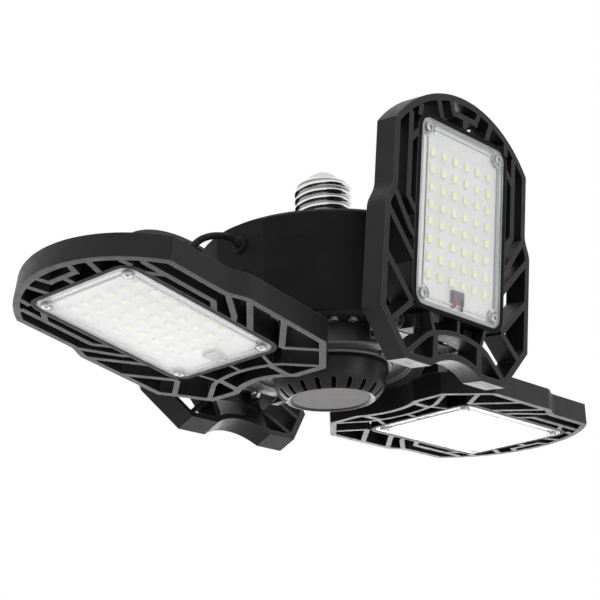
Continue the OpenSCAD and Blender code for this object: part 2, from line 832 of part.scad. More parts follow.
// ---- Lamp tray ----
module led_board(i) {
    color("#e9ebea")
    on_panel(i)
    difference() {
        translate([0, 0, board_face]) linear_extrude(board_t) pocket_outline(tray_fit);
        translate([terminal_s, 0, board_face - 1]) cylinder(r = 1.6, h = board_t + 2);
    }
}

module led_chips(i) {
    color("#efe6b0")
    on_panel(i)
    for (m = [0:chips_along - 1], n = [0:chips_across - 1])
        translate([
            lens_mid + (m - (chips_along - 1) / 2) * chip_pitch_s - 1.75,
            (n - (chips_across - 1) / 2) * chip_pitch_w - 1.4,
            board_face - chip_h])
            cube([3.5, 2.8, chip_h]);
}

module wire_terminal(i) {
    height = 1.7;
    color("#9a9da0")
    on_panel(i)
        translate([terminal_s - 3, -4, board_face - height])
            difference() {
                cube([6, 8, height]);
                for (w = [2, 6])
                    translate([2.2, w - 1, -1]) cube([2.4, 2, 1.6]);
            }
}

module lens_seal(i) {
    color("#d8dada")
    on_panel(i)
        translate([0, 0, flange_in])
            linear_extrude(seal_t)
                difference() {
                    round_rect(lens_s + 0.3, lens_end - 0.3, lens_half - 0.3, lens_corner - 0.3);
                    pocket_outline(-0.1);
                    for (s = lens_screw_s, w = [-lens_screw_w, lens_screw_w])
                        translate([s, w]) circle(d = lens_screw_d + 0.6);
                }
}

// The clear lens: a flat flange with a hollow raised middle
lens_step = 2.8;

module lens_plateau(d) {
    difference() {
        round_rect(lens_s + 3 + d, lens_end - 3 - d, lens_half - 3 - d, lens_corner - 2);
        for (s = lens_screw_s, w = [-lens_screw_w, lens_screw_w])
            translate([s, w]) circle(lens_step + d);
    }
}

module lens(i) {
    color([0.93, 0.95, 0.96, 0.35])
    on_panel(i)
    difference() {
        union() {
            translate([0, 0, flange_out])
                linear_extrude(flange_t)
                    round_rect(lens_s, lens_end, lens_half, lens_corner);
            translate([0, 0, flange_out - lens_raise])
                linear_extrude(lens_raise + eps) lens_plateau(0);
        }
        translate([0, 0, flange_in - flange_t + 0.5])
            linear_extrude(flange_t) lens_plateau(1.2);
        at_lens_screws()
            translate([0, 0, face_z - 2]) cylinder(d = lens_screw_d + 0.4, h = 5);
    }
}

module lens_screws(i) {
    color("#b9bbbe")
    on_panel(i)
        at_lens_screws()
            translate([0, 0, flange_out]) pan_screw(lens_screw_d, 5, 2.2, 0.9);
}

// ---- Hinges ----
module at_hinge_sides() {
    for (side = [0, 1])
        mirror([0, side, 0]) children();
}

module hinge_bolts(i) {
    length = ear_out + running_gap - knuckle_in + nut_t + 0.8;
    color("#a9abb0")
    on_panel(i)
        at_hinge_sides()
            translate([0, ear_out + running_gap, 0])
                rotate([90, 0, 0]) pan_screw(bolt_d, length, head_r, head_t);
}

module hinge_nuts(i) {
    color("#b5b7bb")
    on_panel(i)
        at_hinge_sides()
            translate([0, knuckle_in, 0])
                rotate([90, 0, 0])
                    difference() {
                        cylinder(d = nut_flats / cos(30), h = nut_t, $fn = 6);
                        translate([0, 0, -1]) cylinder(d = bolt_d + 0.1, h = nut_t + 2);
                    }
}

module friction_washers(i) {
    color("#d0d2d4")
    on_panel(i)
        at_hinge_sides()
            translate([0, knuckle_out + washer_t, 0])
                rotate([90, 0, 0])
                    difference() {
                        cylinder(r = knuckle_r - 0.2, h = washer_t);
                        translate([0, 0, -1]) cylinder(d = bolt_d + 0.1, h = washer_t + 2);
                    }
}

// ---- Leads ----
// Middle points of each lead, as distance from the hub's axis, offset across the panel and
// height above the hinge axes. Each lead is as long as the others, so it stands in a
// higher loop where its panel is folded up.
lead_routes = [
    [[59.5, 0, 42], [63, 0, 42.4], [67, 0, 41.6], [72, 0, 40], [77, 0, 37.4], [81.5, 0, 33.6],
        [86, 0, 28], [89.5, 0, 21], [91.5, 0, 13], [92, 0, 7]],
    [[58.6, 2, 40.8], [60, 6, 42], [60.5, 11, 46], [61, 13.5, 52], [61.5, 11, 58.5],
        [62, 5, 62], [62.3, -2, 61], [62.5, -6.5, 56], [62, -8, 50], [61.3, -7, 44],
        [60.6, -4, 39], [61, -1.2, 36.4]],
    [[59.5, 0, 41.4], [63.5, 0, 41.6], [68, 0, 40], [73.5, 0, 36.6], [78.5, 0, 31.6],
        [83.5, 0, 25], [88, 0, 17], [91, 0, 9], [92.2, 0, 2]],
    [[58.8, 0, 41], [61.6, 0, 44.6], [62, 0, 50.5], [63.6, 0, 57], [68, 0, 61.4],
        [73.4, 0, 60.6], [76, 0, 55.4], [74.6, 0, 49.4], [71, 0, 44.4], [68.4, 0, 39],
        [69.2, 0, 34.8]]];

// A point of the panel's middle line, as distance from the hub's axis, offset and height
function panel_point(i, s, z) = [
    hinge_r + s * cos(folds[i]) - z * sin(folds[i]), 0,
    s * sin(folds[i]) + z * cos(folds[i])];

module lead(i) {
    start = [[hub_flat - 8, 0, grommet_h], [hub_flat + 1.4, 0, grommet_h]];
    finish = [panel_point(i, inlet_s, back_z + 1.4), panel_point(i, inlet_s, floor_in + 0.1)];
    color("#121214")
    rotate([0, 0, azimuths[i]])
        translate([0, 0, axis_z])
            tube(concat([start[0]], smooth(concat([start[1]], lead_routes[i], [finish[0]]), 2),
                [finish[1]]), lead_d);
}

centre_contact();
base_insulator();
screw_shell();
top_cover();
driver_housing();
housing_screws();
driver_board();
driver_parts();
supply_wires();
lead_grommets();
hinge_carrier();
carrier_screws();
vent_cap();
cap_plate();
frame(0);  // frame_a
frame(1);  // frame_b
frame(2);  // frame_c
frame(3);  // frame_d
led_board(0);  // led_board_a
led_board(1);  // led_board_b
led_board(2);  // led_board_c
led_board(3);  // led_board_d
led_chips(0);  // led_chips_a
led_chips(1);  // led_chips_b
led_chips(2);  // led_chips_c
led_chips(3);  // led_chips_d
wire_terminal(0);  // wire_terminal_a
wire_terminal(1);  // wire_terminal_b
wire_terminal(2);  // wire_terminal_c
wire_terminal(3);  // wire_terminal_d
lens_seal(0);  // lens_seal_a
lens_seal(1);  // lens_seal_b
lens_seal(2);  // lens_seal_c
lens_seal(3);  // lens_seal_d
lens(0);  // lens_a
lens(1);  // lens_b
lens(2);  // lens_c
lens(3);  // lens_d
lens_screws(0);  // lens_screws_a
lens_screws(1);  // lens_screws_b
lens_screws(2);  // lens_screws_c
lens_screws(3);  // lens_screws_d
hinge_bolts(0);  // hinge_bolts_a
hinge_bolts(1);  // hinge_bolts_b
hinge_bolts(2);  // hinge_bolts_c
hinge_bolts(3);  // hinge_bolts_d
hinge_nuts(0);  // hinge_nuts_a
hinge_nuts(1);  // hinge_nuts_b
hinge_nuts(2);  // hinge_nuts_c
hinge_nuts(3);  // hinge_nuts_d
friction_washers(0);  // friction_washers_a
friction_washers(1);  // friction_washers_b
friction_washers(2);  // friction_washers_c
friction_washers(3);  // friction_washers_d
lead(0);  // lead_a
lead(1);  // lead_b
lead(2);  // lead_c
lead(3);  // lead_d
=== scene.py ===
import json
from math import atan2, cos, radians, sin, tau

import bmesh
import bpy
from mathutils import Matrix, Vector


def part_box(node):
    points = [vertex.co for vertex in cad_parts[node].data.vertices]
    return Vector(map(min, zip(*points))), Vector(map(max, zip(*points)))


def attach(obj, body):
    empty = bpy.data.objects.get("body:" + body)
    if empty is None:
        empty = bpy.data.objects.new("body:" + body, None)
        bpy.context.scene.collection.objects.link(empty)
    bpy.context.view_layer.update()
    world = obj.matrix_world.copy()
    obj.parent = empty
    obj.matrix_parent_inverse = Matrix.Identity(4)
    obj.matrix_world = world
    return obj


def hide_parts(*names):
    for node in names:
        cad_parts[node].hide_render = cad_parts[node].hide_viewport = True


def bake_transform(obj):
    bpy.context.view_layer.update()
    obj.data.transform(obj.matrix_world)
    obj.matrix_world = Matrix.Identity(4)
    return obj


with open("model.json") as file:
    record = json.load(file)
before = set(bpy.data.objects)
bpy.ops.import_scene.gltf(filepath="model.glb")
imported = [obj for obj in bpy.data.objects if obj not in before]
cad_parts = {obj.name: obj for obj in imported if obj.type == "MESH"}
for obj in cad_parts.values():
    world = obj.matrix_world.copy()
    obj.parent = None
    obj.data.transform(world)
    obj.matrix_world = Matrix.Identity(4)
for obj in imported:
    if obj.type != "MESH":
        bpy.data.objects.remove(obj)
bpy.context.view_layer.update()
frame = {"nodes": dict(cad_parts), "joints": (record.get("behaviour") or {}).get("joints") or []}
scene = bpy.context.scene
mm = 0.001

# ---- The view ----
# The lamp hangs from a lampholder overhead, and the camera looks up at it from below, past
# the near panels. A pale floor lies far below in a plain white studio with two soft lamps.
camera_place = Vector((-0.47598, -0.41731, -0.28207))
camera_aim = Vector((0.69779, 0.63583, 0.32986))
camera_roll = radians(-1.92)
camera = bpy.data.objects.new("camera", bpy.data.cameras.new("camera"))
camera.data.lens = 89.7
camera.data.sensor_width = 36
camera.data.clip_start = 0.01
scene.collection.objects.link(camera)
camera_turn = camera_aim.to_track_quat("-Z", "Y").to_matrix()
camera_turn = camera_turn @ Matrix.Rotation(camera_roll, 3, "Z")
camera.matrix_world = Matrix.Translation(camera_place) @ camera_turn.to_4x4()
scene.camera = camera
scene.view_settings.view_transform = "Standard"


def add_node(tree, kind, values=None, **settings):
    """A new shader node, with the settings of the node and the values of its sockets."""
    made = tree.nodes.new(kind)
    for name, value in settings.items():
        setattr(made, name, value)
    for name, value in (values or {}).items():
        made.inputs[name].default_value = value
    return made


# The world is white where it is seen directly, reflected or through glass, and it lights
# dull surfaces at a lower level.
sky_fill = 0.85
studio = bpy.data.worlds.new("studio")
studio.use_nodes = True
scene.world = studio
sky = studio.node_tree
sky.nodes.clear()
rays = add_node(sky, "ShaderNodeLightPath")
seen = add_node(sky, "ShaderNodeMath", operation="MAXIMUM")
seen_too = add_node(sky, "ShaderNodeMath", operation="MAXIMUM")
white = add_node(sky, "ShaderNodeBackground", {"Color": (1, 1, 1, 1), "Strength": 1})
fill = add_node(sky, "ShaderNodeBackground", {"Color": (1, 1, 1, 1), "Strength": sky_fill})
choose = add_node(sky, "ShaderNodeMixShader")
out = add_node(sky, "ShaderNodeOutputWorld")
sky.links.new(rays.outputs["Is Camera Ray"], seen.inputs[0])
sky.links.new(rays.outputs["Is Glossy Ray"], seen.inputs[1])
sky.links.new(seen.outputs[0], seen_too.inputs[0])
sky.links.new(rays.outputs["Is Transmission Ray"], seen_too.inputs[1])
sky.links.new(seen_too.outputs[0], choose.inputs[0])
sky.links.new(fill.outputs[0], choose.inputs[1])
sky.links.new(white.outputs[0], choose.inputs[2])
sky.links.new(choose.outputs[0], out.inputs["Surface"])

floor_drop = 0.95
floor_half = 4.0
floor_mesh = bpy.data.meshes.new("floor")
floor_corners = ((-1, -1), (1, -1), (1, 1), (-1, 1))
floor_mesh.from_pydata([(x * floor_half, y * floor_half, -floor_drop) for x, y in floor_corners],
                       [], [(0, 1, 2, 3)])
floor = bpy.data.objects.new("floor", floor_mesh)
scene.collection.objects.link(floor)
floor_paint = bpy.data.materials.new("floor_paint")
floor_paint.use_nodes = True
paint = floor_paint.node_tree
paint_shader = paint.nodes["Principled BSDF"]
paint_shader.inputs["Roughness"].default_value = 0.9
paint_mottle = add_node(paint, "ShaderNodeTexNoise", {"Scale": 3.0, "Detail": 2.0})
paint_tint = add_node(paint, "ShaderNodeMix",
                      {"A": (0.86, 0.86, 0.86, 1), "B": (0.9, 0.9, 0.89, 1)}, data_type="RGBA")
paint.links.new(paint_mottle.outputs["Fac"], paint_tint.inputs[0])
paint.links.new(paint_tint.outputs[2], paint_shader.inputs["Base Color"])
floor_mesh.materials.append(floor_paint)


def soft_lamp(name, place, aim, size, power):
    """A square studio lamp at a place, turned towards a point of the object."""
    lamp = bpy.data.objects.new(name, bpy.data.lights.new(name, "AREA"))
    lamp.data.size = size
    lamp.data.energy = power
    lamp.location = place
    lamp.rotation_euler = (Vector(aim) - Vector(place)).to_track_quat("-Z", "Y").to_euler()
    lamp.visible_camera = False
    scene.collection.objects.link(lamp)


hub_middle = (0.0, 0.0, -0.07)
soft_lamp("front_lamp", (0.2, -1.9, -0.4), hub_middle, size=1.0, power=8)
soft_lamp("low_lamp", (0.85, 1.25, -0.85), hub_middle, size=1.7, power=30)

# ---- Leads ----
# Four round black leads, 3 mm thick with a soft rubber sleeve, carry the current from the
# hub to the panels. Each leaves its grommet straight, stands in a loose bow so that its
# panel can fold, and goes in through the panel's back.
axis_height = frame["joints"][0]["pos_m"][2]


class Panel:
    """Where a lamp panel hangs: its hinge, the way it points and how far it is folded up."""

    def __init__(self, joint):
        self.letter = joint["name"][-1]
        self.body = joint["child"]
        self.hinge = Vector(joint["pos_m"])
        self.azimuth = atan2(self.hinge.y, self.hinge.x)
        self.fold = radians(-joint["range_deg"][0])
        self.outward = Matrix.Rotation(self.azimuth, 4, "Z")
        self.place = (Matrix.Translation(self.hinge) @ self.outward
                      @ Matrix.Rotation(-self.fold, 4, "Y"))

    def beside_hub(self, reach, across, height):
        """A point given in mm as distance from the hub's axis, offset and height."""
        return self.outward @ Vector((reach * mm, across * mm, height * mm + axis_height))


panels = {p.letter: p for p in map(Panel, frame["joints"])}
# All in mm: heights at the hub are over the hinge axes, and heights at a panel over its hinge
grommet_height = 40.4
grommet_face = 54.8
lead_inside_hub = 8
inlet_reach = 36.0
frame_back = -5.2
tray_floor = -11.5
straight_stretch = 1.4
short_of_tray = 0.1
lead_radius = 1.5
steps_between_points = 6
lead_routes = {
    "a": [(59.5, 0, 42), (63, 0, 42.4), (67, 0, 41.6), (72, 0, 40), (77, 0, 37.4),
          (81.5, 0, 33.6), (86, 0, 28), (89.5, 0, 21), (91.5, 0, 13), (92, 0, 7)],
    "b": [(58.6, 2, 40.8), (60, 6, 42), (60.5, 11, 46), (61, 13.5, 52), (61.5, 11, 58.5),
          (62, 5, 62), (62.3, -2, 61), (62.5, -6.5, 56), (62, -8, 50), (61.3, -7, 44),
          (60.6, -4, 39), (61, -1.2, 36.4)],
    "c": [(59.5, 0, 41.4), (63.5, 0, 41.6), (68, 0, 40), (73.5, 0, 36.6), (78.5, 0, 31.6),
          (83.5, 0, 25), (88, 0, 17), (91, 0, 9), (92.2, 0, 2)],
    "d": [(58.8, 0, 41), (61.6, 0, 44.6), (62, 0, 50.5), (63.6, 0, 57), (68, 0, 61.4),
          (73.4, 0, 60.6), (76, 0, 55.4), (74.6, 0, 49.4), (71, 0, 44.4), (68.4, 0, 39),
          (69.2, 0, 34.8)]}
# Two points on each of these leads, the first on the hub's side and the second on its panel's
# side; they are worked out below, but nothing uses them
lead_bends = {"a": ((59.5, 0, 42), (92, 0, 3.6)), "c": ((59.5, 0, 41.4), (92, 0, -3.6)),
              "d": ((66, 0, 57.1), (74, 0, 54.3))}
# The lead that stands in a sideways loop is cut at two rings of its tube: the loop before the
# first follows the hub, the foot after the second follows its panel, and the stretch between is a
# piece of its own
bent_rings = {"b": (48, 76)}


def smooth_route(points, steps):
    """Points of a smooth curve through a route, with steps of them on each stretch."""
    made = []
    for i in range(len(points) - 1):
        a, b = points[max(i - 1, 0)], points[i]
        c, d = points[i + 1], points[min(i + 2, len(points) - 1)]
        for j in range(steps):
            t = j / steps
            made.append(0.5 * (2 * b + (c - a) * t + (2 * a - 5 * b + 4 * c - d) * t * t
                               + (3 * b - a - 3 * c + d) * t * t * t))
    return made + [points[-1]]


def tube(path, radius, sides=16, rings=None):
    """A round wire or lead along a path, or its stretch between two rings, closed at the ends."""
    last = len(path) - 1
    side = Vector((0.31, 0.93, 0.2))
    points, faces = [], []
    for i, place in enumerate(path):
        along = (path[min(i + 1, last)] - path[max(i - 1, 0)]).normalized()
        side = (side - side.dot(along) * along).normalized()
        other = along.cross(side)
        for k in range(sides):
            turn = tau * k / sides
            points.append(place + radius * (cos(turn) * side + sin(turn) * other))
    first, final = rings or (0, last)
    points = points[first * sides:(final + 1) * sides]
    last = final - first
    for i in range(last):
        for k in range(sides):
            p, q = i * sides + k, i * sides + (k + 1) % sides
            faces.append((p, q, q + sides, p + sides))
    faces.append(tuple(reversed(range(sides))))
    faces.append(tuple(range(last * sides, (last + 1) * sides)))
    return points, faces


def piece(name, forms, sharp=35):
    """A new piece of the lamp from forms, each with its finish."""
    points, faces, finishes, chosen = [], [], [], []
    for (form_points, form_faces), finish in forms:
        if finish not in finishes:
            finishes.append(finish)
        start = len(points)
        points += [tuple(p) for p in form_points]
        faces += [tuple(start + i for i in face) for face in form_faces]
        chosen += [finishes.index(finish)] * len(form_faces)
    mesh = bpy.data.meshes.new(name)
    mesh.from_pydata(points, [], faces)
    for finish in finishes:
        mesh.materials.append(finish)
    mesh.polygons.foreach_set("material_index", chosen)
    form = bmesh.new()
    form.from_mesh(mesh)
    bmesh.ops.remove_doubles(form, verts=form.verts, dist=0.001 * mm)
    bmesh.ops.recalc_face_normals(form, faces=form.faces)
    form.to_mesh(mesh)
    form.free()
    mesh.shade_smooth()
    mesh.set_sharp_from_angle(angle=radians(sharp))
    made = bpy.data.objects.new(name, mesh)
    scene.collection.objects.link(made)
    return made


class Finish:
    """The surface of a piece: a node material that is built up in steps."""

    def __init__(self, name, roughness=0.5, **sockets):
        self.material = bpy.data.materials.new(name)
        self.material.use_nodes = True
        self.tree = self.material.node_tree
        self.shader = self.tree.nodes["Principled BSDF"]
        self.shader.inputs["Roughness"].default_value = roughness
        for socket, value in sockets.items():
            self.shader.inputs[socket.replace("_", " ")].default_value = value
        self.place = add_node(self.tree, "ShaderNodeTexCoord").outputs["Object"]

    def join(self, source, target):
        self.tree.links.new(source, target)
        return self

    def noise(self, per_metre, detail=3.0):
        """A cloudy pattern with so many clouds to the metre, from 0 to 1."""
        made = add_node(self.tree, "ShaderNodeTexNoise", {"Scale": per_metre, "Detail": detail})
        self.join(self.place, made.inputs["Vector"])
        return made.outputs["Fac"]

    def spread(self, source, low, high, start=0.3, end=0.7):
        """Turns a pattern into values from low to high."""
        made = add_node(self.tree, "ShaderNodeMapRange",
                        {"From Min": start, "From Max": end, "To Min": low, "To Max": high})
        self.join(source, made.inputs["Value"])
        return made.outputs["Result"]

    def mix(self, share, first, second):
        """A colour between two, which are colours or sockets."""
        made = add_node(self.tree, "ShaderNodeMix", data_type="RGBA")
        self.join(share, made.inputs[0])
        for value, socket in ((first, made.inputs[6]), (second, made.inputs[7])):
            if isinstance(value, bpy.types.NodeSocket):
                self.join(value, socket)
            else:
                socket.default_value = (*value, 1)
        return made.outputs[2]

    def colour(self, source):
        return self.join(source, self.shader.inputs["Base Color"])

    def two_tone(self, per_metre, dark, light):
        """Colour that drifts between two close tones."""
        share = self.spread(self.noise(per_metre), 0.0, 1.0)
        return self.colour(self.mix(share, dark, light))

    def uneven(self, per_metre, low, high):
        """Roughness that drifts between two values."""
        source = self.spread(self.noise(per_metre), low, high)
        return self.join(source, self.shader.inputs["Roughness"])

    def grain(self, per_metre, depth, strength=0.5, edge=0.0):
        """Fine relief, on edges that are rounded off by the edge radius."""
        bump = add_node(self.tree, "ShaderNodeBump", {"Strength": strength, "Distance": depth})
        self.join(self.noise(per_metre, 4.0), bump.inputs["Height"])
        if edge:
            rounded = add_node(self.tree, "ShaderNodeBevel", {"Radius": edge}, samples=4)
            self.join(rounded.outputs["Normal"], bump.inputs["Normal"])
        return self.join(bump.outputs["Normal"], self.shader.inputs["Normal"])

    def on_panel(self, panel):
        """Coordinates in a panel's own frame: out from its hinge, across it and up."""
        made = add_node(self.tree, "ShaderNodeMapping", vector_type="TEXTURE")
        made.inputs["Location"].default_value = panel.place.to_translation()
        made.inputs["Rotation"].default_value = panel.place.to_euler()
        self.join(self.place, made.inputs["Vector"])
        return made.outputs["Vector"]

    def vector_step(self, operation, source, value=(0.0, 0.0, 0.0)):
        """One step of vector arithmetic on a socket."""
        made = add_node(self.tree, "ShaderNodeVectorMath", operation=operation)
        made.inputs[1].default_value = value
        self.join(source, made.inputs[0])
        return made.outputs["Value" if operation == "LENGTH" else "Vector"]

    def edge_mask(self, width):
        """One along the edges within a width, and nought on the faces."""
        rounded = add_node(self.tree, "ShaderNodeBevel", {"Radius": width}, samples=4)
        true = add_node(self.tree, "ShaderNodeNewGeometry")
        match = add_node(self.tree, "ShaderNodeVectorMath", operation="DOT_PRODUCT")
        self.join(rounded.outputs["Normal"], match.inputs[0])
        self.join(true.outputs["Normal"], match.inputs[1])
        return self.spread(match.outputs["Value"], 0.0, 1.0, 0.98, 0.8)


rubber = Finish("rubber_sleeve", Specular_IOR_Level=0.15)
rubber.two_tone(300, (0.007, 0.007, 0.008), (0.014, 0.014, 0.014))
rubber.uneven(900, 0.5, 0.7).grain(2500, 0.00003)

for letter, panel in panels.items():
    route = [panel.beside_hub(grommet_face - lead_inside_hub, 0, grommet_height),
             panel.beside_hub(grommet_face + straight_stretch, 0, grommet_height)]
    route += [panel.beside_hub(*point) for point in lead_routes[letter]]
    inlet_height = frame_back + straight_stretch
    route.append(panel.place @ Vector((inlet_reach * mm, 0, inlet_height * mm)))
    path = [route[0]] + smooth_route(route[1:], steps_between_points)
    path.append(panel.place @ Vector((inlet_reach * mm, 0, (tray_floor + short_of_tray) * mm)))
    if letter in bent_rings:
        first, final = bent_rings[letter]
        bend_along = (path[final] - path[first]).normalized() * mm
        bend_start, bend_end = path[first] + bend_along, path[final] - bend_along
        for name, body, rings in (("loop", "hub", (0, first)),
                                  ("foot", panel.body, (final, len(path) - 1))):
            part = piece("rubber_lead_%s_%s" % (letter, name),
                         [(tube(path, lead_radius * mm, rings=rings), rubber.material)])
            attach(part, body)
            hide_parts("lead_" + letter)
    else:
        first, final = 0, len(path) - 1
        bend_start, bend_end = (panel.beside_hub(*point) for point in lead_bends[letter])
    lead = piece("rubber_lead_" + letter,
                 [(tube(path, lead_radius * mm, rings=(first, final)), rubber.material)])
    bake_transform(lead)
    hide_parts("lead_" + letter)

# ---- Lamp base ----
# A standard screw lamp base: a thin brass shell with a rolled thread, plated with bright
# nickel, crimped on the stem of the cover. A white insulator closes its top round the
# contact, a button of tinned brass with a drop of solder.


def dress(finish, *names):
    """Gives CAD nodes, whose shape is right, their finish."""
    for name in names:
        node = frame["nodes"][name]
        if not node.material_slots:
            node.data.materials.append(finish.material)
        for slot in node.material_slots:
            slot.material = finish.material


shell_low, shell_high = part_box("screw_shell")
thread_crest = shell_high.x
thread_depth = 1.1 * mm
thread_root = thread_crest - thread_depth
thread_pitch = 3.63 * mm
thread_crest_azimuth = radians(221)
thread_crest_height = -16.4 * mm
thread_roundness = 0.25
top_runout = 0.7 * mm
foot_runout = 1.6 * mm
shell_wall = 0.45 * mm
shoulder_drop = 1.7 * mm
shoulder_reach = 4.1 * mm
shell_neck = shell_high.z - shoulder_drop


def shell_radius(turn, height):
    """Radius of the thread's surface, which runs out towards both ends of the shell."""
    wave = cos(tau * (height - thread_crest_height) / thread_pitch - (turn - thread_crest_azimuth))
    wave = 0.5 + 0.5 * ((1 + thread_roundness) * wave - thread_roundness * wave ** 3)
    top_fade = min(1.0, max(0.0, (shell_neck - height) / top_runout))
    foot_fade = min(1.0, max(0.0, (height - shell_low.z) / foot_runout))
    return thread_crest - thread_depth * (1 - wave * top_fade * foot_fade)


def threaded_shell(steps=144, rows=110, bends=8):
    """The rolled shell as one thin sheet with a rounded shoulder at its top."""
    shoulder = []
    for i in range(bends + 1):
        turn = i / bends * tau / 4
        shoulder.append((thread_crest - shoulder_reach
                         + (thread_root - thread_crest + shoulder_reach) * sin(turn),
                         shell_neck + shoulder_drop * cos(turn)))
    heights = [shell_neck + (shell_low.z - shell_neck) * i / rows for i in range(1, rows + 1)]
    count = 2 * (len(shoulder) + rows)
    points, faces = [], []
    for k in range(steps):
        turn = tau * k / steps
        outside = shoulder + [(shell_radius(turn, z), z) for z in heights]
        inside = [(r - shell_wall, z - (shell_wall if i < len(shoulder) - 2 else 0))
                  for i, (r, z) in enumerate(outside)]
        points += [Vector((r * cos(turn), r * sin(turn), z)) for r, z in outside + inside[::-1]]
    for k in range(steps):
        a, b = k * count, (k + 1) % steps * count
        for i in range(count):
            j = (i + 1) % count
            faces.append((a + i, b + i, b + j, a + j))
    return points, faces


nickel = Finish("nickel_plate", Metallic=1.0)
# Painted shade darkens the roots of the thread, standing in for the dark hub that they reflect,
# but not the shoulder above it
from_axis = nickel.vector_step("LENGTH", nickel.vector_step("MULTIPLY", nickel.place, (1, 1, 0)))
crest_share = nickel.spread(from_axis, 0.0, 1.0, thread_root, thread_root + 0.15 * thread_depth)
height = add_node(nickel.tree, "ShaderNodeSeparateXYZ")
nickel.join(nickel.place, height.inputs[0])
unshaded_share = add_node(nickel.tree, "ShaderNodeMath", operation="MAXIMUM")
nickel.join(crest_share, unshaded_share.inputs[0])
nickel.join(nickel.spread(height.outputs["Z"], 0.0, 1.0, shell_neck, shell_neck + 0.4 * mm),
            unshaded_share.inputs[1])
plate = nickel.mix(nickel.spread(nickel.noise(160), 0.0, 1.0),
                   (0.76, 0.76, 0.77), (0.86, 0.86, 0.87))
# The dark colour is painted shade in the roots; the plate colour holds on the crests and the
# shoulder
nickel.colour(nickel.mix(unshaded_share.outputs[0], (0.2, 0.197, 0.18), plate))
nickel.uneven(700, 0.1, 0.2).grain(1800, 0.00001, 0.3)
threaded = piece("threaded_shell", [(threaded_shell(), nickel.material)], 60)
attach(threaded, "hub")
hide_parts("screw_shell")

solder = Finish("tinned_contact", Metallic=1.0)
solder.two_tone(500, (0.5, 0.49, 0.47), (0.72, 0.71, 0.68))
solder.uneven(1200, 0.25, 0.45).grain(900, 0.0002, 0.5)
dress(solder, "centre_contact")
insulator = Finish("white_insulator", 0.25, Coat_Weight=0.3)
insulator.two_tone(220, (0.78, 0.77, 0.74), (0.86, 0.85, 0.82)).grain(700, 0.00003, 0.3)
dress(insulator, "base_insulator")

# ---- Cover and housing ----
# The hub's shell is two mouldings of black flame-proof plastic with four flats: a cover with
# air slots and a drum below it. Eight cross-head screws go up through the drum into the
# cover's posts, and the two close on a joint that hides a stepped lip.


def moulded_plastic(name, dark, light, gloss, rough, painted_edge_highlight, edge_width=0.5 * mm):
    """Black moulded plastic: a fine spark-eroded grain, and a painted highlight along its edges.
    """
    made = Finish(name, Specular_IOR_Level=gloss)
    share = made.spread(made.noise(60), 0.0, 1.0)
    body = made.mix(share, dark, light)
    # The lighter colour along the edges is a painted highlight.
    made.colour(made.mix(made.edge_mask(edge_width), body, painted_edge_highlight))
    return made.uneven(250, rough - 0.05, rough + 0.06).grain(3500, 0.00002, 0.4, 0.3 * mm)


# Its edge colour is a painted highlight.
hub_plastic = moulded_plastic("hub_plastic", (0.004, 0.004, 0.0045), (0.008, 0.008, 0.008),
                              gloss=0.12, rough=0.55, painted_edge_highlight=(0.014, 0.014, 0.014))
dress(hub_plastic, "top_cover", "driver_housing")


def lathe(rings, facets):
    """Rows of points round Z for rings of (radius, height), and the faces between them."""
    points, faces = [], []
    for r, z in rings:
        points += [Vector((r * cos(tau * k / facets), r * sin(tau * k / facets), z))
                   for k in range(facets)]
    for i in range(len(rings) - 1):
        for k in range(facets):
            p, q = i * facets + k, i * facets + (k + 1) % facets
            faces.append((p, q, q + facets, p + facets))
    return points, faces


def cross_screw(head_r, head_h, shank_r, shank_l, pitch=0.0):
    """A pan-head screw with a cross recess: its seat is at zero and its shank points up."""
    facets = 32
    crown = [(0.6, -1.0), (0.74, -0.97), (0.87, -0.84), (0.96, -0.6), (1.0, -0.3), (1.0, 0.0)]
    rings = [(head_r * r, head_h * z) for r, z in crown] + [(shank_r, 0.0)]
    turns = int(shank_l / pitch) - 1 if pitch else 0
    for i in range(turns):
        rings += [(shank_r, (i + 0.55) * pitch), (shank_r - 0.3 * pitch, (i + 1.05) * pitch)]
    rings += [(shank_r, shank_l - shank_r * 0.4), (shank_r * 0.6, shank_l)]
    points, faces = lathe(rings, facets)
    faces.append(tuple(range(len(points) - facets, len(points))))
    wide, long, deep = 0.13 * head_r, 0.46 * head_r, 0.6 * head_h
    cross = [(long, wide), (wide, wide), (wide, long)]
    cross = [(x * cos(q) - y * sin(q), x * sin(q) + y * cos(q))
             for q in (0, tau / 4, tau / 2, 3 * tau / 4) for x, y in cross]
    count = len(cross)
    rim = len(points)
    points += [Vector((x, y, -head_h)) for x, y in cross]
    points += [Vector((0.75 * x, 0.75 * y, deep - head_h)) for x, y in cross]
    for i in range(count):
        j = (i + 1) % count
        faces.append((rim + i, rim + j, rim + count + j, rim + count + i))
    faces.append(tuple(range(rim + count, rim + 2 * count)))
    form = bmesh.new()
    corners = [form.verts.new(p) for p in points[:facets] + points[rim:rim + count]]
    edges = [form.edges.new((corners[i], corners[(i + 1) % facets])) for i in range(facets)]
    edges += [form.edges.new((corners[facets + i], corners[facets + (i + 1) % count]))
              for i in range(count)]
    form.verts.index_update()
    top = bmesh.ops.triangle_fill(form, edges=edges, use_beauty=True)["geom"]
    for face in top:
        if isinstance(face, bmesh.types.BMFace):
            faces.append(tuple(v.index if v.index < facets else v.index - facets + rim
                               for v in face.verts))
    form.free()
    return points, faces


def moved(form, place):
    """A form put in another place."""
    return [place @ p for p in form[0]], form[1]


steel = Finish("zinc_plated_steel", Metallic=1.0)
steel.two_tone(700, (0.55, 0.55, 0.56), (0.74, 0.74, 0.75)).uneven(1500, 0.22, 0.38)
dark_steel = Finish("blackened_steel", Metallic=1.0)
dark_steel.two_tone(900, (0.09, 0.09, 0.1), (0.2, 0.2, 0.21)).uneven(1500, 0.3, 0.45)


